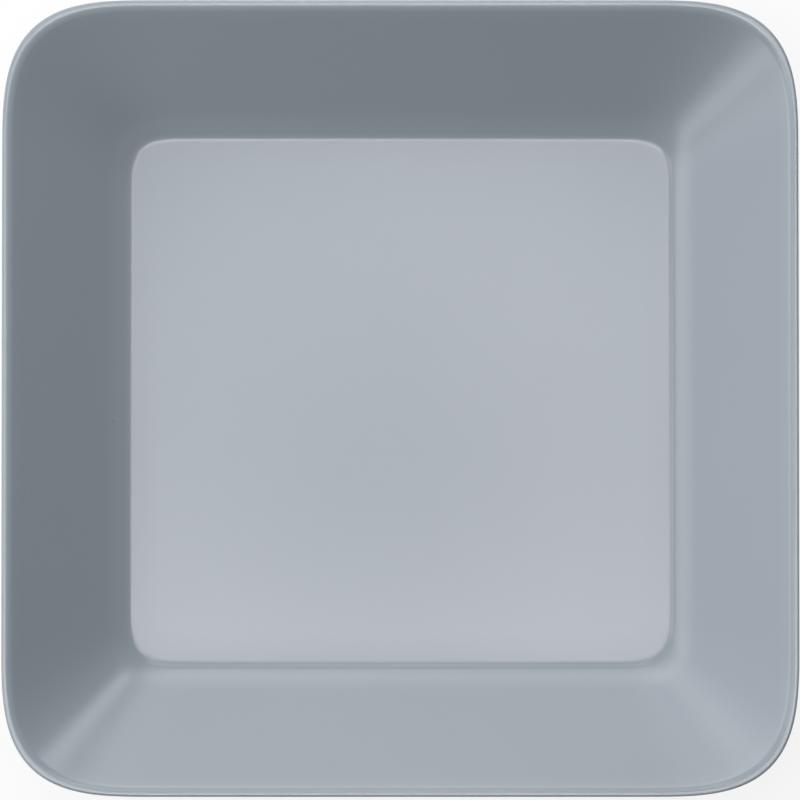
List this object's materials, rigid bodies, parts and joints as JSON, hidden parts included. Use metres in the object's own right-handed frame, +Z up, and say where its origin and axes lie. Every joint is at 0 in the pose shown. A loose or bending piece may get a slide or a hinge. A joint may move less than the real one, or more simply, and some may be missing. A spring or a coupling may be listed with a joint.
{
  "type": "square plate",
  "caption": "Small square ceramic plate with rounded corners, a flat square well, a broad sloping rim with a rounded lip, and a bare foot ring under a glossy grey glaze.",
  "frame": {"origin": "on the table, under the middle of the plate", "axes": "+Z up, out of the well; +X and +Y along the plate's sides"},
  "size_m": [0.16, 0.16, 0.026],
  "materials": {
    "porcelain": "bare fired porcelain, smooth and matt",
    "glaze": "glossy cool grey glaze"
  },
  "bodies": {
    "root": {"porcelain_body": "porcelain", "top_glaze": "glaze", "base_glaze": "glaze"}
  },
  "joints": []
}
